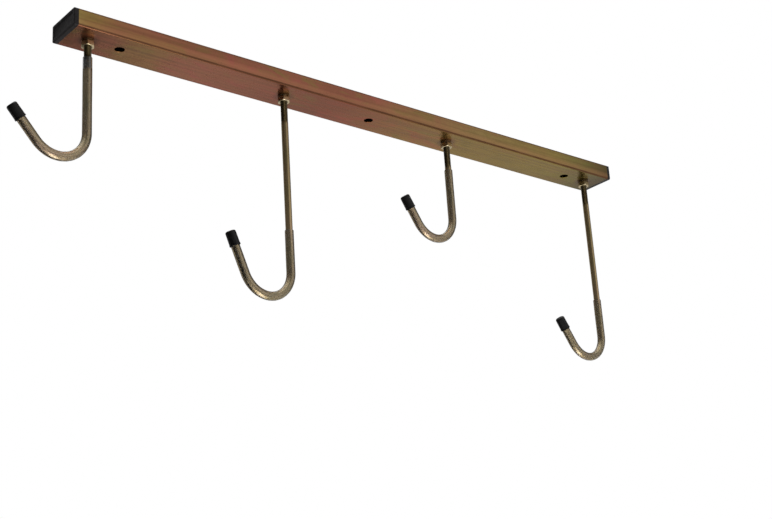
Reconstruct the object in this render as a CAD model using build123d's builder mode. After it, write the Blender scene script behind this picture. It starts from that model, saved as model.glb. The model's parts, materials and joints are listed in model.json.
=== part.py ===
"""Overhead bicycle rack: a capped rectangular tube with four J-shaped rod hooks below it.

Millimetres, +Z up. The origin is the middle of the tube's top face, which lies against the ceiling or beam.
+X runs along the tube, and the hooks open towards -X.
"""

from build123d import *
import math
import os

# --- driving dimensions ---
rail_length = 800.0  # over both end caps
rail_width = 50.0
rail_height = 20.0
rail_wall = 1.5
rail_corner = 2.0  # outer corner radius of the tube

cap_flange = 5.0  # thickness of the cap that shows at each end
cap_plug = 12.0  # how far the cap reaches into the tube
cap_wall = 1.6
cap_edge = 0.8  # rounding of the cap's outer edge
cap_recess = 0.6  # depth of the shallow panel in the cap's face
cap_recess_margin = 4.0
cap_rib_width = 1.2
cap_rib_pitch = 15.0
cap_gap = 0.4  # between plug and tube, bridged by the ribs

fixing_radius = 5.5
fixing_inset = 65.0  # end of the rail to the outer fixing holes

hook_inset = 28.0  # end of the rail to the outer hooks
hook_depths = (139.0, 247.0, 135.0, 252.0)  # tube's underside to the bend's lowest centre
hook_turns = (138.0, 157.0, 146.0, 144.0)  # degrees through which each rod is bent
hook_legs = (42.0, 48.0, 36.0, 38.0)  # straight leg, from the bend to the cap's end
hook_swivel = 4.0  # degrees by which the hooks are set forward of the line of the tube
bare_shanks = (20.0, 165.0, 38.0, 170.0)  # shank that the sleeve leaves bare
rod_radius = 4.0
rod_top_gap = 2.5  # rod's end to the tube's upper wall
rod_chamfer = 0.8
bend_radius = 33.0  # centreline of the bend

sleeve_wall = 1.0
sleeve_clearance = 0.05

tip_cap_length = 17.0
tip_cap_wall = 2.2
tip_cap_end = 2.5
tip_cap_rounding = 1.6
tip_cap_clearance = 0.05

insert_wall = 1.45
insert_clearance = 0.05  # round the insert's barrel
insert_lip = 1.0  # how far its flange stands out below the wall
insert_flange_height = 1.0
insert_swell = 1.5  # how far it swells out above the wall
insert_swell_height = 2.5
insert_top_gap = 4.0  # insert's end to the tube's upper wall

thread_clearance = 0.05  # between the rod and the threads that run on it
nut_flats = 13.0
nut_height = 6.5
nut_chamfer = 0.6
nut_gap = 0.1  # nut to insert, so that a slackened hook turns freely

# --- worked-out places ---
underside = -rail_height
inner_floor = underside + rail_wall
inner_ceiling = -rail_wall
tube_length = rail_length - 2 * cap_flange
hook_span = rail_length - 2 * hook_inset
hook_count = len(hook_depths)
hook_places = [hook_span * (i / (hook_count - 1) - 0.5) for i in range(hook_count)]
fixing_span = rail_length - 2 * fixing_inset
inner_corner = rail_corner - rail_wall
thread_bore = rod_radius + thread_clearance
insert_barrel = thread_bore + insert_wall
insert_flange = insert_barrel + insert_lip
insert_collar = insert_barrel + insert_swell
insert_hole = insert_barrel + insert_clearance
sleeve_bore = rod_radius + sleeve_clearance
sleeve_radius = sleeve_bore + sleeve_wall
nut_top = underside - insert_flange_height - nut_gap

os.makedirs("parts", exist_ok=True)


def save(piece, name):
    piece.part.label = name
    export_step(piece.part, f"parts/{name}.step")


def make_rail_tube():
    with BuildPart() as tube:
        with BuildSketch(Plane.YZ.offset(-tube_length / 2)):
            with Locations((0, -rail_height / 2)):
                RectangleRounded(rail_width, rail_height, rail_corner)
                RectangleRounded(
                    rail_width - 2 * rail_wall,
                    rail_height - 2 * rail_wall,
                    inner_corner,
                    mode=Mode.SUBTRACT,
                )
        extrude(amount=tube_length)
        with BuildSketch(Plane.XY.offset(underside)):
            with Locations([(x, 0) for x in hook_places]):
                Circle(insert_hole)
        extrude(amount=rail_wall, mode=Mode.SUBTRACT)
        with BuildSketch(Plane.XY):
            with Locations([(x, 0) for x in (-fixing_span / 2, 0, fixing_span / 2)]):
                Circle(fixing_radius)
        extrude(amount=-rail_height, mode=Mode.SUBTRACT)
    return tube


def make_end_cap(side):
    """A push-in cap. side is -1 at the left end and 1 at the right end."""
    mouth = Plane(
        origin=(side * tube_length / 2, 0, -rail_height / 2),
        x_dir=(0, 1, 0),
        z_dir=(side, 0, 0),
    )
    bore_width = rail_width - 2 * rail_wall
    bore_height = rail_height - 2 * rail_wall
    plug_width = bore_width - 2 * cap_gap
    plug_height = bore_height - 2 * cap_gap
    with BuildPart() as cap:
        with BuildSketch(mouth):
            RectangleRounded(rail_width, rail_height, rail_corner)
        extrude(amount=cap_flange)
        outer_face = cap.faces().sort_by(Axis.X)[-1 if side > 0 else 0]
        fillet(outer_face.edges(), radius=cap_edge)
        with BuildSketch(mouth.offset(cap_flange)):
            RectangleRounded(
                rail_width - 2 * cap_recess_margin,
                rail_height - 2 * cap_recess_margin,
                inner_corner,
            )
        extrude(amount=-cap_recess, mode=Mode.SUBTRACT)
        with BuildSketch(mouth):
            RectangleRounded(plug_width, plug_height, inner_corner)
            with GridLocations(cap_rib_pitch, 0, 3, 1):
                Rectangle(cap_rib_width, bore_height)
            with GridLocations(0, bore_height / 2, 1, 2):
                Rectangle(bore_width, cap_rib_width)
        extrude(amount=-cap_plug)
        with BuildSketch(mouth.offset(-cap_plug)):
            Rectangle(plug_width - 2 * cap_wall, plug_height - 2 * cap_wall)
        extrude(amount=cap_plug, mode=Mode.SUBTRACT)
    return cap


def make_thread_insert(x):
    """A blind threaded insert: flange below the wall, barrel through it, swollen collar above it."""
    flange_bottom = underside - insert_flange_height
    collar_top = inner_floor + insert_swell_height
    insert_top = inner_ceiling - insert_top_gap
    with BuildPart() as insert:
        with BuildSketch(Plane.XZ):
            with Locations((x, 0)):
                Polygon(
                    (thread_bore, flange_bottom),
                    (insert_flange, flange_bottom),
                    (insert_flange, underside),
                    (insert_barrel, underside),
                    (insert_barrel, inner_floor),
                    (insert_collar, inner_floor),
                    (insert_collar, collar_top),
                    (insert_barrel, collar_top),
                    (insert_barrel, insert_top),
                    (thread_bore, insert_top),
                    align=None,
                )
        revolve(axis=Axis((x, 0, 0), (0, 0, 1)))
        rims = insert.edges().filter_by(GeomType.CIRCLE)
        collar_rims = rims.group_by(SortBy.RADIUS)[-1]
        fillet(collar_rims, radius=insert_swell_height / 3)
    return insert


def make_lock_nut(x):
    corner = nut_flats / math.sqrt(3)
    with BuildPart() as nut:
        with BuildSketch(Plane.XY.offset(nut_top)):
            with Locations((x, 0)):
                RegularPolygon(nut_flats / 2, 6, major_radius=False)
                Circle(thread_bore, mode=Mode.SUBTRACT)
        extrude(amount=-nut_height)
        # the corners are turned down at both faces
        with BuildSketch(Plane.XZ):
            with Locations((x, nut_top)):
                Polygon(
                    (0, 0),
                    (nut_flats / 2, 0),
                    (corner, -nut_chamfer),
                    (corner, nut_chamfer - nut_height),
                    (nut_flats / 2, -nut_height),
                    (0, -nut_height),
                    align=None,
                )
        revolve(axis=Axis((x, 0, 0), (0, 0, 1)), mode=Mode.INTERSECT)
    return nut


def hook_path(x, top, depth, turn, leg):
    """The centreline of a hook, from the height top down the shank, round the bend and up the leg."""
    swivel = math.radians(hook_swivel)
    hook_plane = Plane(
        origin=(x, 0, 0),
        x_dir=(math.cos(swivel), math.sin(swivel), 0),
        z_dir=(math.sin(swivel), -math.cos(swivel), 0),
    )
    with BuildLine(hook_plane) as path:
        shank = Line((0, top), (0, underside - depth + bend_radius))
        bend = JernArc(shank @ 1, (0, -1), bend_radius, -turn)
        Line(bend @ 1, (bend @ 1) + (bend % 1) * leg)
    return path


def swept_ring(path, outer, inner=0.0):
    """A round bar or tube along a path."""
    start = Plane(origin=path.line @ 0, z_dir=path.line % 0)
    with BuildPart() as bar:
        with BuildSketch(start):
            Circle(outer)
            if inner > 0:
                Circle(inner, mode=Mode.SUBTRACT)
        sweep(path=path.line)
    return bar


def make_hook_rod(x, depth, turn, leg):
    rod = swept_ring(
        hook_path(x, inner_ceiling - rod_top_gap, depth, turn, leg - tip_cap_end),
        rod_radius,
    )
    with rod:
        top_edges = rod.edges().group_by(Axis.Z)[-1]
        chamfer(top_edges, length=rod_chamfer)
    return rod


def make_hook_sleeve(x, depth, turn, leg, bare):
    path = hook_path(x, underside - bare, depth, turn, leg - tip_cap_length)
    return swept_ring(path, sleeve_radius, sleeve_bore)


def make_tip_cap(x, depth, turn, leg):
    path = hook_path(x, underside, depth, turn, leg)
    tip = Plane(origin=path.line @ 1, z_dir=path.line % 1)
    outer = rod_radius + tip_cap_clearance + tip_cap_wall
    with BuildPart() as cap:
        with BuildSketch(tip.offset(-tip_cap_length)):
            Circle(outer)
        extrude(amount=tip_cap_length)
        end_edge = cap.edges().sort_by(Axis(tip.origin, tip.z_dir))[-1]
        fillet(end_edge, radius=tip_cap_rounding)
        with BuildSketch(tip.offset(-tip_cap_length)):
            Circle(rod_radius + tip_cap_clearance)
        extrude(amount=tip_cap_length - tip_cap_end, mode=Mode.SUBTRACT)
    return cap


save(make_rail_tube(), "rail_tube")
save(make_end_cap(-1), "end_cap_left")
save(make_end_cap(1), "end_cap_right")

for i, place in enumerate(hook_places):
    shape = (place, hook_depths[i], hook_turns[i], hook_legs[i])
    save(make_thread_insert(place), f"thread_insert_{i + 1}")
    save(make_lock_nut(place), f"lock_nut_{i + 1}")
    save(make_hook_rod(*shape), f"hook_rod_{i + 1}")
    save(make_hook_sleeve(*shape, bare_shanks[i]), f"hook_sleeve_{i + 1}")
    save(make_tip_cap(*shape), f"tip_cap_{i + 1}")
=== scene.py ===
"""The looks of an overhead bicycle rack: a plated tube with black end caps and four sleeved rod hooks.

Metres, in the frame of the CAD model: the origin is the middle of the tube's top face, +X runs along the
tube, and the hooks open towards -X.
"""

import bmesh
import bpy
import json
import math
from mathutils import Matrix, Vector


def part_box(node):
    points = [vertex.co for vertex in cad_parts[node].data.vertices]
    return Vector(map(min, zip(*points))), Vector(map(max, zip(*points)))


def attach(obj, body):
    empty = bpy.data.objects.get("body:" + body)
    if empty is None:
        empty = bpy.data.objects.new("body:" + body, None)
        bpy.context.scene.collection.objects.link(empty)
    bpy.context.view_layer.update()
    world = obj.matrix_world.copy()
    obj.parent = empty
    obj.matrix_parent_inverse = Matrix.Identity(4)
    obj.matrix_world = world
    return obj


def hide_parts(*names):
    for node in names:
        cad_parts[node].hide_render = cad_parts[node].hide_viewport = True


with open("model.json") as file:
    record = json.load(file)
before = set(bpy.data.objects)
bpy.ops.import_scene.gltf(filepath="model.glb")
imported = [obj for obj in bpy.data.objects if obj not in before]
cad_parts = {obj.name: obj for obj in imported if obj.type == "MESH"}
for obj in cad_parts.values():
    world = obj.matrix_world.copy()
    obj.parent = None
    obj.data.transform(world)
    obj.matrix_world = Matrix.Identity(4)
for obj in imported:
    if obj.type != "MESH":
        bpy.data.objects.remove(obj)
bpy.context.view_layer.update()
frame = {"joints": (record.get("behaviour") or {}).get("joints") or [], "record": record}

# --- sizes that the frame's boxes don't give ---
MM = 0.001
TUBE_CORNER = 2.0 * MM
TUBE_WALL = 1.5 * MM
FIXING_RADIUS = 5.5 * MM
HOLE_EDGE = 0.35 * MM  # deburred edge of a hole
BEND_RADIUS = 33.0 * MM
HOOK_TURNS = [138.0, 157.0, 146.0, 144.0]  # degrees
HOOK_LEGS = [42.0 * MM, 48.0 * MM, 36.0 * MM, 38.0 * MM]  # bend to the cap's end
HOOK_SWIVEL = math.radians(4.0)
ROD_RADIUS = 4.0 * MM
THREAD_PITCH = 1.25 * MM
THREAD_DEPTH = 0.62 * MM
THREAD_LEAD_IN = 0.7 * MM  # chamfer at the rod's top
THREAD_BELOW = 34.0 * MM  # how far the thread runs down below the tube
SLEEVE_RADIUS = 5.05 * MM
TIP_CAP_LENGTH = 17.0 * MM
TIP_CAP_RADIUS = 6.25 * MM
TIP_CAP_END = 2.5 * MM
NUT_FLATS = 13.0 * MM
NUT_ANGLES = [3.0, -4.0, 5.0, -2.0]  # degrees: each nut stopped at its own angle
INSERT_SWELL = 1.5 * MM  # how far the collar stands out past the barrel
INSERT_LIP = 1.0 * MM  # how far the flange does
INSERT_CLEARANCE = 0.05 * MM  # round its barrel and inside its bore
CAP_FLANGE = 5.0 * MM
CAP_RIM = 0.8 * MM  # rounding of the cap's outer edge
CAP_GAP = 0.4 * MM  # between plug and tube
CAP_WALL = 1.6 * MM
CAP_PANEL_MARGIN = 4.0 * MM
CAP_PANEL_DEPTH = 0.6 * MM
BORE_GAP = 0.03 * MM  # between a rod and its nut or tip cap
AXIS_RADIUS = 0.0001 * MM  # small enough to close a turned solid at its axis

tube_low, tube_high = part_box("rail_tube")
tube_middle = (tube_low + tube_high) / 2
tube_size = tube_high - tube_low
mounts = {m["name"]: m for m in frame["record"]["mounts"]}
hook_joints = [j for j in frame["joints"] if j["name"].startswith("hook_")]


# ---------------------------------------------------------------- camera, lights and floor

CAMERA_PLACE = Vector((-0.9817, -1.1841, -0.7426))
CAMERA_HEADING = math.radians(40.04)  # from +Y towards +X
CAMERA_TILT = math.radians(19.49)  # above the horizon
CAMERA_ROLL = math.radians(-3.78)
CAMERA_LENS = 65.6

FLOOR_HEIGHT = -3.0
FLOOR_RADIUS = 70.0


def make_camera():
    data = bpy.data.cameras.new("camera")
    data.lens = CAMERA_LENS
    data.sensor_width = 36.0
    camera = bpy.data.objects.new("camera", data)
    turn = Matrix.Rotation(-CAMERA_HEADING, 4, "Z")
    tilt = Matrix.Rotation(math.pi / 2 + CAMERA_TILT, 4, "X")
    roll = Matrix.Rotation(CAMERA_ROLL, 4, "Z")
    camera.matrix_world = Matrix.Translation(CAMERA_PLACE) @ turn @ tilt @ roll
    bpy.context.scene.collection.objects.link(camera)
    bpy.context.scene.camera = camera


def add_softbox(name, place, target, width, height, power):
    data = bpy.data.lights.new(name, "AREA")
    data.shape = "RECTANGLE"
    data.size = width
    data.size_y = height
    data.energy = power
    light = bpy.data.objects.new(name, data)
    aim = Vector(target) - Vector(place)
    light.matrix_world = Matrix.Translation(place) @ aim.to_track_quat("-Z", "Y").to_matrix().to_4x4()
    light.visible_camera = False
    bpy.context.scene.collection.objects.link(light)


# broad soft lights round the rack: direction, brightness, and how far from its centre each one reaches
SOFT_LIGHTS = [
    ((0.00, 0.00, 1.00), 1.50, 52.0),  # overhead
    ((0.55, -0.80, 0.22), 0.58, 44.0),  # in front and to the right
    ((0.10, 0.95, 0.12), 0.40, 36.0),  # behind the rack
    ((0.30, -0.95, -0.05), 0.45, 26.0),  # in front and level with the hooks
]
ROOM_BRIGHTNESS = 0.16


def make_world():
    """White behind the rack for the camera; for the rack itself, a dim room with a few broad soft lights."""
    world = bpy.data.worlds.new("studio")
    world.use_nodes = True
    bpy.context.scene.world = world
    nodes, links = world.node_tree.nodes, world.node_tree.links

    def calculate(operation, a, b):
        node = nodes.new("ShaderNodeMath")
        node.operation = operation
        for socket, value in zip(node.inputs, (a, b)):
            if isinstance(value, float):
                socket.default_value = value
            else:
                links.new(value, socket)
        return node.outputs[0]

    direction = nodes.new("ShaderNodeTexCoord").outputs["Generated"]
    total = ROOM_BRIGHTNESS
    for aim, strength, reach in SOFT_LIGHTS:
        facing = nodes.new("ShaderNodeVectorMath")
        facing.operation = "DOT_PRODUCT"
        links.new(direction, facing.inputs[0])
        facing.inputs[1].default_value = Vector(aim).normalized()
        fade = nodes.new("ShaderNodeMapRange")
        fade.interpolation_type = "SMOOTHSTEP"
        fade.inputs["From Min"].default_value = math.cos(math.radians(reach))
        links.new(facing.outputs["Value"], fade.inputs["Value"])
        total = calculate("ADD", calculate("MULTIPLY", fade.outputs["Result"], strength), total)
    # full white where the camera looks past the rack
    seen = nodes.new("ShaderNodeMix")
    seen.data_type = "FLOAT"
    links.new(nodes.new("ShaderNodeLightPath").outputs["Is Camera Ray"], seen.inputs[0])
    links.new(total, seen.inputs[2])
    seen.inputs[3].default_value = 1.0
    nodes["Background"].inputs["Color"].default_value = (1, 1, 1, 1)
    links.new(seen.outputs[0], nodes["Background"].inputs["Strength"])


def make_flag(name, material, place, aim, width, height):
    """A black card that the camera doesn't see, which keeps the floor's glare off one side of the hooks."""
    mesh = bpy.data.meshes.new(name)
    signs = [(-1, -1), (1, -1), (1, 1), (-1, 1)]
    corners = [(x * width / 2, y * height / 2, 0) for x, y in signs]
    mesh.from_pydata(corners, [], [(0, 1, 2, 3)])
    mesh.materials.append(material)
    flag = bpy.data.objects.new(name, mesh)
    turn = Vector(aim).to_track_quat("Z", "Y").to_matrix().to_4x4()
    flag.matrix_world = Matrix.Translation(place) @ turn
    flag.visible_camera = False
    flag.visible_shadow = False
    flag.visible_diffuse = False
    bpy.context.scene.collection.objects.link(flag)


def make_floor(material):
    mesh = bpy.data.meshes.new("floor")
    steps = 96
    turns = [math.tau * i / steps for i in range(steps)]
    ring = [(FLOOR_RADIUS * math.cos(t), FLOOR_RADIUS * math.sin(t), FLOOR_HEIGHT) for t in turns]
    mesh.from_pydata(ring, [], [list(range(steps))])
    mesh.materials.append(material)
    floor = bpy.data.objects.new("floor", mesh)
    bpy.context.scene.collection.objects.link(floor)


# ---------------------------------------------------------------- materials


def srgb(red, green, blue):
    """An everyday 0 to 255 colour as linear values."""
    shares = [c / 255 for c in (red, green, blue)]
    return tuple(c / 12.92 if c < 11 / 255 else ((c + 0.055) / 1.055) ** 2.4 for c in shares)


class Finish:
    """A material under construction, with short calls for the nodes that the finishes share."""

    def __init__(self, name):
        self.material = bpy.data.materials.new(name)
        self.material.use_nodes = True
        self.tree = self.material.node_tree
        self.shader = self.tree.nodes["Principled BSDF"]
        self.place = self.tree.nodes.new("ShaderNodeTexCoord").outputs["Object"]

    def set(self, **values):
        """Plain numbers for the shader's inputs, with _ for each space in an input's name."""
        for name, value in values.items():
            self.shader.inputs[name.replace("_", " ")].default_value = value
        return self

    def join(self, source, target):
        self.tree.links.new(source, target)

    def stretched(self, x, y, z):
        """Object coordinates scaled by a factor along each axis."""
        node = self.tree.nodes.new("ShaderNodeMapping")
        node.inputs["Scale"].default_value = (x, y, z)
        self.join(self.place, node.inputs["Vector"])
        return node.outputs["Vector"]

    def unbent(self, x, y, z):
        """Like stretched, along a bent piece as if it were straight. Z runs along it."""
        place = self.tree.nodes.new("ShaderNodeAttribute")
        place.attribute_name = "straight"
        node = self.tree.nodes.new("ShaderNodeMapping")
        node.inputs["Scale"].default_value = (x, y, z)
        self.join(place.outputs["Vector"], node.inputs["Vector"])
        return node.outputs["Vector"]

    def noise(self, scale, detail=3.0, roughness=0.55, place=None, distortion=0.0):
        """Noise at scale cells to the metre, or to the unit of place."""
        node = self.tree.nodes.new("ShaderNodeTexNoise")
        node.inputs["Scale"].default_value = scale
        node.inputs["Detail"].default_value = detail
        node.inputs["Roughness"].default_value = roughness
        node.inputs["Distortion"].default_value = distortion
        self.join(place or self.place, node.inputs["Vector"])
        return node.outputs["Fac"]

    def math(self, operation, a, b=0.0):
        """a and b are numbers or outputs."""
        node = self.tree.nodes.new("ShaderNodeMath")
        node.operation = operation
        for socket, value in zip(node.inputs, (a, b)):
            if isinstance(value, (int, float)):
                socket.default_value = value
            else:
                self.join(value, socket)
        return node.outputs[0]

    def axis(self, letter):
        if not hasattr(self, "axes"):
            node = self.tree.nodes.new("ShaderNodeSeparateXYZ")
            self.join(self.place, node.inputs[0])
            self.axes = node
        return self.axes.outputs[letter]

    def span(self, value, low, high, to_low=0.0, to_high=1.0):
        """value, taken smoothly from the range low..high to the range to_low..to_high."""
        node = self.tree.nodes.new("ShaderNodeMapRange")
        node.interpolation_type = "SMOOTHSTEP"
        for socket, number in zip(node.inputs[1:5], (low, high, to_low, to_high)):
            socket.default_value = number
        self.join(value, node.inputs["Value"])
        return node.outputs["Result"]

    def near_hooks(self, near, far):
        """1 within the distance near of a hook's axis, fading to 0 at far."""
        total = 0.0
        for joint in hook_joints:
            node = self.tree.nodes.new("ShaderNodeVectorMath")
            node.operation = "DISTANCE"
            self.join(self.stretched(1.0, 1.0, 0.0), node.inputs[0])
            node.inputs[1].default_value = (joint["pos_m"][0], joint["pos_m"][1], 0.0)
            total = self.math("ADD", self.span(node.outputs["Value"], far, near), total)
        return total

    def ramp(self, value, stops):
        """A colour ramp. stops are (position, colour)."""
        node = self.tree.nodes.new("ShaderNodeValToRGB")
        elements = node.color_ramp.elements
        while len(elements) < len(stops):
            elements.new(0.5)
        for element, (position, colour) in zip(elements, stops):
            element.position = position
            element.color = (*colour, 1.0)
        self.join(value, node.inputs["Fac"])
        return node.outputs["Color"]

    def mix(self, share, first, second, blend="MIX"):
        """Two colours mixed. share is an output; a colour is a tuple or an output."""
        node = self.tree.nodes.new("ShaderNodeMix")
        node.data_type = "RGBA"
        node.blend_type = blend
        self.join(share, node.inputs[0])
        for socket, colour in zip(node.inputs[6:8], (first, second)):  # the node's two colour inputs
            if isinstance(colour, tuple):
                socket.default_value = (*colour, 1.0)
            else:
                self.join(colour, socket)
        return node.outputs[2]

    def colour(self, output):
        self.join(output, self.shader.inputs["Base Color"])

    def roughness(self, output):
        self.join(output, self.shader.inputs["Roughness"])

    def bump(self, height, distance, strength=1.0):
        node = self.tree.nodes.new("ShaderNodeBump")
        node.inputs["Strength"].default_value = strength
        node.inputs["Distance"].default_value = distance
        self.join(height, node.inputs["Height"])
        self.join(node.outputs["Normal"], self.shader.inputs["Normal"])


def inside_walls(f):
    """1 well inside the tube's outline, where only hole walls and the bore can be, and 0 on the outside."""
    return f.span(f.math("ABSOLUTE", f.axis("Y")), tube_size.y / 2 - 0.5 * MM, tube_size.y / 2 - 1.0 * MM)


def chromate_film(f, along, under, clouds):
    """The film's colours: gold at the left end, then copper pink, then olive gold."""
    drift = f.noise(9.0, 4.0, 0.6, f.stretched(1.0, 3.0, 3.0), 0.6)
    place = f.math("ADD", along, f.math("MULTIPLY", f.math("SUBTRACT", drift, 0.5), 0.10))
    place = f.math("ADD", place, f.math("MULTIPLY", under, f.span(along, 0.3, 0.0, 0.0, 0.09)))
    base = f.ramp(
        place,
        [
            (0.00, srgb(162, 138, 80)),
            (0.02, srgb(156, 124, 70)),
            (0.06, srgb(156, 104, 74)),
            (0.24, srgb(160, 101, 77)),
            (0.44, srgb(150, 93, 72)),
            (0.55, srgb(160, 113, 79)),
            (0.68, srgb(155, 128, 80)),
            (0.86, srgb(154, 132, 74)),
            (0.95, srgb(132, 120, 64)),
            (1.00, srgb(88, 82, 42)),
        ],
    )
    # clouds of pink and olive, as the film's thickness varies
    pink = f.span(clouds, 0.50, 0.66)
    olive = f.span(clouds, 0.48, 0.34)
    pink_there = f.span(along, 0.85, 0.55, 0.10, 0.60)
    base = f.mix(f.math("MULTIPLY", pink, pink_there), base, srgb(172, 90, 82))
    base = f.mix(f.math("MULTIPLY", olive, 0.60), base, srgb(138, 118, 66))
    # an olive patch near the left end, over the underside and the lower half of the sides
    away = f.math("ABSOLUTE", f.math("SUBTRACT", along, 0.11))
    ragged = f.math("ADD", away, f.math("MULTIPLY", clouds, 0.05))
    low_down = f.span(f.axis("Z"), tube_middle.z + 2.0 * MM, tube_middle.z - 5.0 * MM)
    patch = f.math("MULTIPLY", f.span(ragged, 0.085, 0.045), low_down)
    base = f.mix(f.math("MULTIPLY", patch, 0.5), base, srgb(146, 120, 62))
    # the underside is duller, and yellower to the right
    dull = f.ramp(
        along,
        [
            (0.20, (1.00, 0.96, 0.84)),
            (0.40, (0.84, 0.66, 0.48)),
            (0.60, (0.94, 0.88, 0.42)),
            (0.90, (0.92, 0.86, 0.38)),
            (1.00, (0.70, 0.66, 0.30)),
        ],
    )
    return f.mix(under, base, dull, "MULTIPLY")


def marks_and_painted_light(f, base, under, clouds):
    """The film's colours with streaks and specks laid over them, and painted light: a painted highlight low
    on the sides, and painted shade round each insert, along the rounded edges and inside the holes.
    """
    # long faint streaks, from drawing and from draining after the bath
    streaks = f.noise(70.0, 3.0, 0.5, f.stretched(0.07, 5.0, 5.0))
    base = f.mix(f.span(streaks, 0.40, 0.70, 0.0, 0.40), base, srgb(108, 70, 50))
    specks = f.noise(700.0, 2.0, 0.5)
    base = f.mix(f.span(specks, 0.66, 0.74, 0.0, 0.45), base, srgb(84, 60, 44))
    # painted highlight: the sides paler towards the lower edge, where they catch the light
    height = f.math("SUBTRACT", f.axis("Z"), tube_middle.z)
    across = f.math("ABSOLUTE", f.axis("Y"))
    side = f.span(across, tube_size.y / 2 - 2.0 * MM, tube_size.y / 2 - 0.4 * MM)
    lower = f.math("MULTIPLY", side, f.span(height, 0.5 * MM, -6.0 * MM))
    base = f.mix(f.math("MULTIPLY", lower, 0.26), base, srgb(196, 136, 98))
    # painted reflection of the dark shank: the underside darker round each insert
    insert_shade = f.math("MULTIPLY", under, f.near_hooks(7.0 * MM, 15.0 * MM))
    base = f.mix(f.math("MULTIPLY", insert_shade, f.span(clouds, 0.3, 0.6, 0.35, 0.6)), base, srgb(86, 56, 40))
    # painted shade: the rounded edges darker, standing in for the dark line that they reflect
    from_middle = f.math("ABSOLUTE", height)
    near_edge = f.span(from_middle, tube_size.z / 2 - 2.8 * MM, tube_size.z / 2 - 1.4 * MM)
    edge = f.math("MULTIPLY", side, near_edge)
    patchy = f.span(f.noise(60.0, 3.0, 0.6, f.stretched(0.4, 1.0, 1.0)), 0.3, 0.6, 0.65, 0.95)
    base = f.mix(f.math("MULTIPLY", edge, patchy), base, srgb(96, 62, 42))
    # painted shade: the insides of the holes and of the tube darker
    below_faces = f.span(from_middle, tube_size.z / 2 - 0.3 * MM, tube_size.z / 2 - 0.7 * MM)
    within = f.math("MULTIPLY", below_faces, inside_walls(f))
    return f.mix(within, base, srgb(40, 24, 16))


def chromated_tube():
    """Zinc with a yellow chromate film."""
    f = Finish("chromated_steel").set(Metallic=0.9)
    along = f.math("DIVIDE", f.math("SUBTRACT", f.axis("X"), tube_low.x), tube_size.x)
    under = f.span(f.axis("Z"), tube_low.z + 1.5 * MM, tube_low.z + 0.3 * MM)
    clouds = f.noise(24.0, 5.0, 0.60, f.stretched(0.7, 1.6, 1.6), 1.2)
    f.colour(marks_and_painted_light(f, chromate_film(f, along, under, clouds), under, clouds))
    # smoother underneath than on the sides
    blotches = f.noise(45.0, 4.0, 0.6)
    polish = f.math("SUBTRACT", 1.0, f.math("MULTIPLY", under, 0.24))
    f.roughness(f.math("MULTIPLY", f.span(blotches, 0.3, 0.7, 0.28, 0.40), polish))
    # drawing lines, fine grain, and the slight waves of a rolled wall
    lines = f.noise(420.0, 2.0, 0.5, f.stretched(0.03, 1.0, 1.0))
    grain = f.noise(1200.0, 2.0, 0.5)
    waves = f.noise(28.0, 2.0, 0.5)
    relief = f.math("ADD", f.math("MULTIPLY", lines, 0.5), f.math("MULTIPLY", grain, 0.2))
    f.bump(f.math("ADD", relief, f.math("MULTIPLY", waves, 4.0)), 0.05 * MM, 0.6)
    return f.material


def plated_rod():
    """Drawn rod with a thin, pale yellow chromate film."""
    f = Finish("plated_rod").set(Metallic=1.0)
    clouds = f.noise(55.0, 4.0, 0.6, f.unbent(1.0, 1.0, 0.35), 0.8)
    film = [(0.30, srgb(160, 146, 104)), (0.50, srgb(176, 154, 114)), (0.70, srgb(180, 150, 124))]
    base = f.ramp(clouds, film)
    streaks = f.noise(420.0, 2.0, 0.5, f.unbent(1.0, 1.0, 0.03))
    base = f.mix(f.span(streaks, 0.42, 0.68, 0.0, 0.4), base, srgb(118, 102, 72))
    # painted shade from the tube above, with some grease in the thread: the rod darker from the thread's foot
    # up
    thread_foot = tube_low.z - THREAD_BELOW
    thread_shade_and_grease = f.span(f.axis("Z"), thread_foot - 3 * MM, thread_foot + 3 * MM)
    base = f.mix(f.math("MULTIPLY", thread_shade_and_grease, 0.88), base, srgb(64, 54, 33))
    f.colour(base)
    f.roughness(f.span(f.noise(160.0, 3.0, 0.5, f.unbent(1.0, 1.0, 0.5)), 0.3, 0.7, 0.26, 0.34))
    lines = f.noise(900.0, 2.0, 0.5, f.unbent(1.0, 1.0, 0.02))
    f.bump(lines, 0.02 * MM, 0.2)
    return f.material


def plated_nut():
    """Bright zinc, a little dulled."""
    f = Finish("plated_nut").set(Metallic=1.0)
    clouds = f.noise(260.0, 4.0, 0.6)
    zinc = [(0.3, srgb(190, 172, 132)), (0.5, srgb(212, 194, 156)), (0.7, srgb(216, 198, 166))]
    base = f.ramp(clouds, zinc)
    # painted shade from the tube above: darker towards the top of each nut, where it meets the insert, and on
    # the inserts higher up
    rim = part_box("lock_nut_1")[1].z
    tube_shade = f.span(f.axis("Z"), rim - 2.4 * MM, rim - 0.6 * MM, 0.0, 0.7)
    base = f.mix(tube_shade, base, srgb(112, 92, 62))
    f.colour(base)
    f.roughness(f.span(f.noise(500.0, 3.0), 0.3, 0.7, 0.28, 0.42))
    f.bump(f.noise(900.0, 3.0), 0.03 * MM, 0.4)
    return f.material


def black_plastic():
    """Moulded cap: fine grain, slightly greyed by handling."""
    f = Finish("black_plastic").set(Specular_IOR_Level=0.28)
    dust = f.noise(90.0, 5.0, 0.65)
    shades = [(0.35, srgb(17, 13, 14)), (0.6, srgb(26, 21, 22)), (0.8, srgb(42, 37, 37))]
    f.colour(f.ramp(dust, shades))
    f.roughness(f.span(f.noise(300.0, 3.0), 0.3, 0.7, 0.46, 0.62))
    grain = f.noise(1300.0, 2.0, 0.5)
    f.bump(grain, 0.06 * MM, 0.4)
    return f.material


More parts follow.
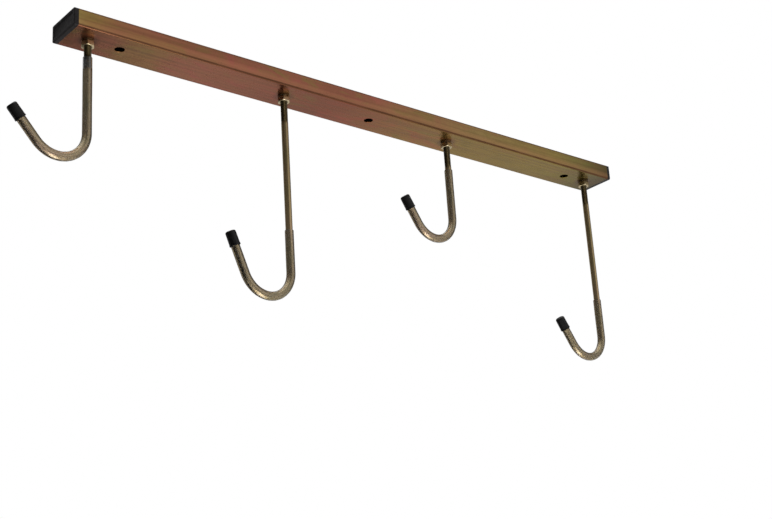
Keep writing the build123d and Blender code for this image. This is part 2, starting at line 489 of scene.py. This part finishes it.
def black_rubber():
    """Dipped vinyl: smooth and slightly glossy, with a little lint."""
    f = Finish("black_rubber").set(Specular_IOR_Level=0.28)
    lint = f.noise(420.0, 4.0, 0.7)
    shades = [(0.4, srgb(8, 7, 7)), (0.64, srgb(14, 12, 12)), (0.80, srgb(34, 31, 29))]
    f.colour(f.ramp(lint, shades))
    f.roughness(f.span(f.noise(160.0, 3.0), 0.3, 0.7, 0.34, 0.50))
    f.bump(f.noise(700.0, 3.0), 0.04 * MM, 0.4)
    return f.material


def clear_vinyl():
    """Soft clear tube, slightly greyed and smeared."""
    f = Finish("clear_vinyl").set(Transmission_Weight=0.98, IOR=1.48)
    tint = f.noise(60.0, 3.0, 0.6, f.unbent(1.0, 1.0, 0.5))
    f.colour(f.ramp(tint, [(0.35, (0.92, 0.93, 0.96)), (0.65, (0.87, 0.87, 0.89))]))
    f.roughness(f.span(f.noise(120.0, 3.0, 0.5, f.unbent(1.0, 1.0, 0.4)), 0.3, 0.7, 0.03, 0.09))
    f.bump(f.noise(60.0, 2.0, 0.5, f.unbent(1.0, 1.0, 0.3)), 0.06 * MM, 0.3)
    return f.material


def black_card():
    """For the cards that shade the hooks from the floor."""
    f = Finish("black_card").set(Roughness=1.0, Specular_IOR_Level=0.0)
    f.colour(f.ramp(f.noise(3.0), [(0.3, srgb(14, 14, 14)), (0.7, srgb(20, 20, 20))]))
    return f.material


def pale_floor():
    f = Finish("pale_floor").set(Roughness=0.8)
    shades = [(0.3, (0.818, 0.818, 0.810)), (0.7, (0.826, 0.826, 0.818))]
    f.colour(f.ramp(f.noise(0.15, 2.0), shades))
    return f.material


# ---------------------------------------------------------------- mesh helpers


def skin(name, rings, cap_start=False, cap_end=False, closed=False, distances=None):
    """A mesh through rings of points, each ring closed and with the same number of points.

    distances holds one distance along the piece for each ring. It gives every point its place on the piece as
    it was before bending, for the materials.
    """
    count = len(rings[0])
    points = [p for ring in rings for p in ring]
    faces = []
    for r in range(len(rings) if closed else len(rings) - 1):
        a, b = r * count, (r + 1) % len(rings) * count
        for i in range(count):
            j = (i + 1) % count
            faces.append((a + i, a + j, b + j, b + i))
    if cap_start:
        faces.append(tuple(reversed(range(count))))
    if cap_end:
        faces.append(tuple(range(len(points) - count, len(points))))
    mesh = bpy.data.meshes.new(name)
    mesh.from_pydata(points, [], faces)
    if distances:
        straight = mesh.attributes.new("straight", "FLOAT_VECTOR", "POINT")
        turns = [math.tau * i / count for i in range(count)]
        around = [(ROD_RADIUS * math.cos(t), ROD_RADIUS * math.sin(t)) for t in turns]
        unbent = [(x, y, d) for d in distances for x, y in around]
        straight.data.foreach_set("vector", [number for point in unbent for number in point])
    mesh.validate()
    smooth(mesh)
    piece = bpy.data.objects.new(name, mesh)
    bpy.context.scene.collection.objects.link(piece)
    return piece


def smooth(mesh, angle=35.0):
    """Smooth shading, with edges of more than angle degrees kept sharp."""
    mesh.polygons.foreach_set("use_smooth", [True] * len(mesh.polygons))
    mesh.set_sharp_from_angle(angle=math.radians(angle))
    mesh.update()


def outward(piece):
    """Turns every face outwards."""
    editable = bmesh.new()
    editable.from_mesh(piece.data)
    bmesh.ops.recalc_face_normals(editable, faces=editable.faces)
    editable.to_mesh(piece.data)
    editable.free()


def finish_piece(piece, slot, body, node):
    """Gives a piece the finish made for a material slot, attaches it to its body, and hides the CAD node that
    it stands in for.
    """
    outward(piece)
    piece.data.materials.append(finishes[slot])
    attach(piece, body)
    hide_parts(node)


def lathe(name, profile, base, direction, steps=64):
    """A turned solid. profile is a closed outline of (radius, height) along direction from base."""
    up = Vector(direction).normalized()
    across = up.orthogonal().normalized()
    other = up.cross(across)
    rings = []
    for radius, height in profile:
        middle = base + up * height
        turn = [math.tau * i / steps for i in range(steps)]
        rings.append([middle + radius * (across * math.cos(t) + other * math.sin(t)) for t in turn])
    return skin(name, rings, closed=True)


def rounded_rectangle(x, width, height, corner, steps=10):
    """Points round a rectangle across the tube and centred on it. steps is for each corner."""
    points = []
    for side_y, side_z, start in ((1, 1, 0.0), (-1, 1, 0.5), (-1, -1, 1.0), (1, -1, 1.5)):
        for i in range(steps + 1):
            turn = math.pi * (start + 0.5 * i / steps)
            y = side_y * (width / 2 - corner) + corner * math.cos(turn)
            z = side_z * (height / 2 - corner) + corner * math.sin(turn)
            points.append(Vector((x, tube_middle.y + y, tube_middle.z + z)))
    return points


# ---------------------------------------------------------------- pieces


def cut(piece, cutters):
    """Takes the cutters out of piece and removes them. Weighted normals keep the flat faces looking flat."""
    for cutter in cutters:
        step = piece.modifiers.new("cut", "BOOLEAN")
        step.operation = "DIFFERENCE"
        step.solver = "EXACT"
        step.object = cutter
    weighted = piece.modifiers.new("weighted", "WEIGHTED_NORMAL")
    weighted.keep_sharp = True
    evaluated = piece.evaluated_get(bpy.context.evaluated_depsgraph_get())
    mesh = bpy.data.meshes.new_from_object(evaluated)
    piece.modifiers.clear()
    piece.data = mesh
    for cutter in cutters:
        bpy.data.objects.remove(cutter)


def hole_cutter(x, y, radius, low, high, reach):
    """A drill with a chamfer where it leaves the faces at low and high."""
    chamfer = radius + HOLE_EDGE + reach
    profile = [
        (chamfer, low - reach),
        (radius, low + HOLE_EDGE),
        (radius, high - HOLE_EDGE),
        (chamfer, high + reach),
        (AXIS_RADIUS, high + reach),
        (AXIS_RADIUS, low - reach),
    ]
    return lathe("cutter", profile, Vector((x, y, 0)), (0, 0, 1), 48)


def make_tube():
    ends = (tube_low.x, tube_high.x)
    outer = [rounded_rectangle(x, tube_size.y, tube_size.z, TUBE_CORNER) for x in ends]
    width, height = tube_size.y - 2 * TUBE_WALL, tube_size.z - 2 * TUBE_WALL
    inner = [rounded_rectangle(x, width, height, TUBE_CORNER - TUBE_WALL) for x in reversed(ends)]
    tube = skin("tube", outer + inner, closed=True)
    outward(tube)  # the cutters need it
    reach = 0.8 * MM  # how far a cutter goes past each face
    cutters = []
    middle = mounts["fixing_hole_middle"]["pos_m"]
    half_span = mounts["fixing_holes_outer"]["dims"]["spacing_x_mm"] * MM / 2
    walls = [(tube_low.z, tube_low.z + TUBE_WALL), (tube_high.z - TUBE_WALL, tube_high.z)]
    for x in (-half_span, 0.0, half_span):
        for low, high in walls:
            cutters.append(hole_cutter(x, middle[1], FIXING_RADIUS, low, high, reach))
    for number in range(1, len(hook_joints) + 1):
        low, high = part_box(f"thread_insert_{number}")
        centre = (low + high) / 2
        radius = (high.x - low.x) / 2 - INSERT_SWELL + INSERT_CLEARANCE
        cutters.append(hole_cutter(centre.x, centre.y, radius, *walls[0], reach))
    cut(tube, cutters)
    finish_piece(tube, "chromated_steel", "rail", "rail_tube")


def hook_line(number):
    """Where a hook's centreline runs: foot and top of its axis, its bend, its leg, and its plane."""
    joint = hook_joints[number - 1]
    x, y = joint["pos_m"][0], joint["pos_m"][1]
    low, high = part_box(f"hook_rod_{number}")
    return {
        "foot": Vector((x, y, 0)),
        "top": high.z,
        "bend_height": low.z + ROD_RADIUS + BEND_RADIUS,  # of the bend's centre
        "turn": math.radians(HOOK_TURNS[number - 1]),
        "leg": HOOK_LEGS[number - 1],
        "forward": Vector((math.cos(HOOK_SWIVEL), math.sin(HOOK_SWIVEL), 0)),
        "side": Vector((math.sin(HOOK_SWIVEL), -math.cos(HOOK_SWIVEL), 0)),  # square to the hook's plane
    }


def stretches(hook):
    """The lengths of a hook's shank and of its bend."""
    return hook["top"] - hook["bend_height"], BEND_RADIUS * hook["turn"]


def station(hook, distance):
    """Point and direction on the centreline, a distance below the top of the rod."""
    shank, arc = stretches(hook)
    foot, forward = hook["foot"], hook["forward"]
    up = Vector((0, 0, 1))
    if distance <= shank:
        return foot + up * (hook["top"] - distance), -up
    turned = min((distance - shank) / BEND_RADIUS, hook["turn"])
    middle = foot - forward * BEND_RADIUS + up * hook["bend_height"]
    point = middle + BEND_RADIUS * (forward * math.cos(turned) - up * math.sin(turned))
    direction = -forward * math.sin(turned) - up * math.cos(turned)
    if distance > shank + arc:
        point = point + direction * (distance - shank - arc)
    return point, direction


def ring_at(hook, distance, radius, steps):
    """A ring round the centreline. radius is a number or a function of the angle."""
    point, direction = station(hook, distance)
    side = hook["side"]
    inside = side.cross(direction)
    ring = []
    for i in range(steps):
        turn = math.tau * i / steps
        r = radius(turn) if callable(radius) else radius
        ring.append(point + r * (inside * math.cos(turn) + side * math.sin(turn)))
    return ring


def spaced(start, end, step):
    """Distances from start to end, evenly spaced by step or a little less."""
    count = max(1, math.ceil((end - start) / step))
    return [start + (end - start) * i / count for i in range(count + 1)]


def thread_radius(distance, end):
    """A function of the angle: a metric thread, chamfered at the rod's top, that runs out at end."""

    def radius(turn):
        phase = (distance / THREAD_PITCH - turn / math.tau) % 1.0
        tooth = min(1.0, max(0.0, 2.6 * abs(phase - 0.5) - 0.15))
        depth = THREAD_DEPTH * min(1.0, max(0.0, (end - distance) / (2 * THREAD_PITCH)))
        lead_in = max(0.0, THREAD_LEAD_IN - distance)
        return ROD_RADIUS - max(depth * tooth, lead_in)

    return radius


def make_rod(number):
    hook = hook_line(number)
    shank, arc = stretches(hook)
    length = shank + arc + hook["leg"] - TIP_CAP_END
    thread_end = hook["top"] - tube_low.z + THREAD_BELOW
    steps = 40
    threaded = spaced(0.0, thread_end, THREAD_PITCH / 8)
    plain = spaced(thread_end, shank, 12 * MM)[1:] + spaced(shank, shank + arc, 1.6 * MM)[1:]
    plain += spaced(shank + arc, length, 8 * MM)[1:]
    rings = [ring_at(hook, 0.0, ROD_RADIUS - 1.2 * MM, steps)]
    rings += [ring_at(hook, d, thread_radius(d, thread_end), steps) for d in threaded]
    rings += [ring_at(hook, d, ROD_RADIUS, steps) for d in plain]
    distances = [0.0] + threaded + plain
    rod = skin(f"rod_{number}", rings, cap_start=True, cap_end=True, distances=distances)
    finish_piece(rod, "plated_rod", f"hook_{number}", f"hook_rod_{number}")


def make_sleeve(number):
    """A soft tube pushed over the rod, with small creases on the inside of the bend and a soft cut end."""
    hook = hook_line(number)
    shank, arc = stretches(hook)
    start = hook["top"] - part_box(f"hook_sleeve_{number}")[1].z
    end = shank + arc + hook["leg"] - TIP_CAP_LENGTH
    steps = 48
    hidden = ROD_RADIUS - 0.05 * MM  # the inner wall grips the rod
    crease_depth = 0.10 * MM
    swell_height = 0.03 * MM

    def outer(distance):
        into_bend = (distance - shank) / arc
        creased = math.sin(math.pi * into_bend) if 0 < into_bend < 1 else 0.0
        wave = 0.5 + 0.5 * math.sin(distance / (1.15 * MM) + 0.8 * math.sin(distance / (3.7 * MM)))
        swell = swell_height * math.sin(distance / (9 * MM) + number)

        def radius(turn):
            inside = max(0.0, math.cos(turn)) ** 3
            return SLEEVE_RADIUS - 0.04 * MM + swell - crease_depth * creased * inside * wave

        return radius

    outside = spaced(start + 0.5 * MM, shank, 6 * MM) + spaced(shank, shank + arc, 0.4 * MM)[1:]
    outside += spaced(shank + arc, end - 0.4 * MM, 4 * MM)[1:]
    inside = [end] + outside[::-3] + [start]
    rings = [ring_at(hook, start, SLEEVE_RADIUS - 0.4 * MM, steps)]
    rings.append(ring_at(hook, start + 0.12 * MM, SLEEVE_RADIUS - 0.16 * MM, steps))
    rings += [ring_at(hook, d, outer(d), steps) for d in outside]
    rings.append(ring_at(hook, end, SLEEVE_RADIUS - 0.4 * MM, steps))
    rings += [ring_at(hook, d, hidden, steps) for d in inside]
    distances = [start, start] + outside + [end] + inside
    sleeve = skin(f"sleeve_{number}", rings, closed=True, distances=distances)
    finish_piece(sleeve, "clear_vinyl", f"hook_{number}", f"hook_sleeve_{number}")


def make_tip_cap(number):
    """A dipped cap: a rolled lip at its mouth, a slight taper, and a rounded end."""
    hook = hook_line(number)
    tip, direction = station(hook, sum(stretches(hook)) + hook["leg"])
    base = tip - direction * TIP_CAP_LENGTH
    lip = TIP_CAP_RADIUS
    body = lip - 0.28 * MM
    bore = ROD_RADIUS + BORE_GAP
    lip_height = 2.6 * MM
    profile = [(bore, 0.25 * MM), (bore + 0.3 * MM, 0.0), (lip - 0.35 * MM, 0.0)]
    profile += [(lip - 0.08 * MM, 0.25 * MM), (lip, 0.8 * MM), (lip - 0.06 * MM, 1.5 * MM)]
    profile += [(body + 0.03 * MM, 2.1 * MM), (body, lip_height)]
    end_radius = 2.2 * MM
    shoulder = TIP_CAP_LENGTH - end_radius
    tapered = body - 0.12 * MM
    profile += [(body - 0.06 * MM, (lip_height + shoulder) / 2), (tapered, shoulder)]
    for i in range(1, 9):
        turn = math.pi / 2 * i / 8
        radius = tapered - end_radius * (1 - math.cos(turn))
        profile.append((radius, shoulder + end_radius * math.sin(turn)))
    # a shallow dimple in the end, and the bottom of the bore
    near_axis = 0.01 * MM
    inner = TIP_CAP_LENGTH - TIP_CAP_END + 0.05 * MM
    profile += [(1.6 * MM, TIP_CAP_LENGTH), (1.1 * MM, TIP_CAP_LENGTH - 0.25 * MM)]
    profile += [(near_axis, TIP_CAP_LENGTH - 0.3 * MM), (near_axis, inner), (bore, inner)]
    cap = lathe(f"tip_cap_{number}_skin", profile, base, direction, 56)
    finish_piece(cap, "black_rubber", f"hook_{number}", f"tip_cap_{number}")


def make_nut(number):
    """A hexagon nut whose corners are turned down at both faces, with a plain countersunk bore."""
    low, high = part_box(f"lock_nut_{number}")
    centre = (low + high) / 2
    base = Vector((centre.x, centre.y, low.z))
    height = high.z - low.z
    flat = NUT_FLATS / 2
    steps = 96
    start = math.radians(NUT_ANGLES[number - 1])
    countersink = 0.45 * MM
    face_radius = flat * 0.955  # of the cone that turns the corners down, where it meets a face
    cone_slope = 1.732  # that cone's growth in radius for each unit of height

    def hexagon(turn):
        sixth = (turn - start) % (math.pi / 3) - math.pi / 6
        return flat / math.cos(sixth)

    def ring(z, limit=None):
        from_face = min(z, height - z)
        cone = face_radius + from_face * cone_slope
        points = []
        for i in range(steps):
            turn = math.tau * i / steps
            r = limit if limit is not None else min(hexagon(turn), cone)
            points.append(base + Vector((r * math.cos(turn), r * math.sin(turn), z)))
        return points

    bore = ROD_RADIUS + BORE_GAP
    # heights in mm from each face, closer together where the corners are turned down
    edges = [0.0, 0.15, 0.3, 0.45, 0.6, 0.8, 1.0, 1.25]
    rise = [e * MM for e in edges] + [height - e * MM for e in reversed(edges)]
    rings = [ring(countersink, bore), ring(0.0, bore + countersink)]
    rings += [ring(z) for z in rise]
    rings += [ring(height, bore + countersink), ring(height - countersink, bore)]
    nut = skin(f"nut_{number}", rings, closed=True)
    finish_piece(nut, "plated_nut", f"hook_{number}", f"lock_nut_{number}")


def make_insert(number):
    """The flange, barrel and swollen collar of a threaded insert."""
    low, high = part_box(f"thread_insert_{number}")
    centre = (low + high) / 2
    base = Vector((centre.x, centre.y, low.z))
    collar = (high.x - low.x) / 2
    barrel = collar - INSERT_SWELL
    flange = barrel + INSERT_LIP
    bore = ROD_RADIUS + INSERT_CLEARANCE
    lip = tube_low.z - low.z
    floor = lip + TUBE_WALL
    tall = high.z - low.z
    profile = [(bore, 0.3 * MM), (bore + 0.3 * MM, 0.0), (flange - 0.3 * MM, 0.0)]
    profile += [(flange - 0.05 * MM, 0.12 * MM), (flange, 0.35 * MM), (flange, lip), (barrel, lip)]
    profile += [(barrel, floor), (collar - 0.8 * MM, floor), (collar, floor + 0.8 * MM)]
    profile += [(collar, floor + 1.6 * MM), (barrel, floor + 2.5 * MM), (barrel, tall), (bore, tall)]
    insert = lathe(f"insert_{number}", profile, base, (0, 0, 1), 64)
    finish_piece(insert, "plated_nut", "rail", f"thread_insert_{number}")


def make_end_cap(name, side):
    """A push-in cap, as rings across the tube: hollow plug, flange with a rounded rim and a shallow panel.

    side is -1 at the left end and 1 at the right end.
    """
    low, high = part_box(name)
    mouth = tube_high.x if side > 0 else tube_low.x
    width, height, corner = tube_size.y, tube_size.z, TUBE_CORNER
    inner_corner = TUBE_CORNER - TUBE_WALL
    plug_inset = TUBE_WALL + CAP_GAP
    hollow_inset = plug_inset + CAP_WALL
    hollow_floor = -0.4 * MM
    reach = (high.x - low.x) - CAP_FLANGE

    def ring(out, inset, round_by):
        return rounded_rectangle(mouth + side * out, width - 2 * inset, height - 2 * inset, round_by)

    rings = [ring(hollow_floor, 7.5 * MM, 1.0 * MM), ring(hollow_floor, hollow_inset, 0.8 * MM)]
    rings += [ring(-reach, hollow_inset, 0.8 * MM), ring(-reach, plug_inset + 0.5 * MM, 1.0 * MM)]
    rings += [ring(-reach + 0.8 * MM, plug_inset, inner_corner), ring(0.0, plug_inset, inner_corner)]
    rings.append(ring(0.0, 0.0, corner))
    for i in range(9):
        turn = math.pi / 2 * i / 8
        inset = CAP_RIM * (1 - math.cos(turn))
        rings.append(ring(CAP_FLANGE - CAP_RIM + CAP_RIM * math.sin(turn), inset, corner - inset * 0.6))
    panel, depth = CAP_PANEL_MARGIN, CAP_PANEL_DEPTH
    rings.append(ring(CAP_FLANGE, panel - 0.25 * MM, 2.0 * MM))
    rings.append(ring(CAP_FLANGE - 0.12 * MM, panel, 1.8 * MM))
    rings.append(ring(CAP_FLANGE - depth + 0.12 * MM, panel + 0.12 * MM, 1.7 * MM))
    rings.append(ring(CAP_FLANGE - depth, panel + 0.4 * MM, 1.5 * MM))
    cap = skin(f"{name}_skin", rings, cap_start=True, cap_end=True)
    finish_piece(cap, "black_plastic", "rail", name)


# ---------------------------------------------------------------- the scene

make_camera()
make_world()
make_floor(pale_floor())
card = black_card()
make_flag("flag_behind", card, (-0.55, 0.80, -1.00), (0.45, -0.65, 0.61), width=2.4, height=1.05)
make_flag("flag_left", card, (-2.40, -0.30, -1.10), (1.0, 0.1, 0.35), width=5.4, height=1.8)
light_place = (0.28, -0.40, FLOOR_HEIGHT + 0.05)
add_softbox("from_floor", light_place, (0.28, -0.40, 0), width=1.1, height=3.6, power=44)

finishes = {
    "chromated_steel": chromated_tube(),
    "plated_rod": plated_rod(),
    "plated_nut": plated_nut(),
    "black_plastic": black_plastic(),
    "black_rubber": black_rubber(),
    "clear_vinyl": clear_vinyl(),
}

make_tube()
make_end_cap("end_cap_left", -1)
make_end_cap("end_cap_right", 1)
for number in range(1, len(hook_joints) + 1):
    make_insert(number)
    make_nut(number)
    make_rod(number)
    make_sleeve(number)
    make_tip_cap(number)

bpy.context.scene.view_settings.view_transform = "Standard"
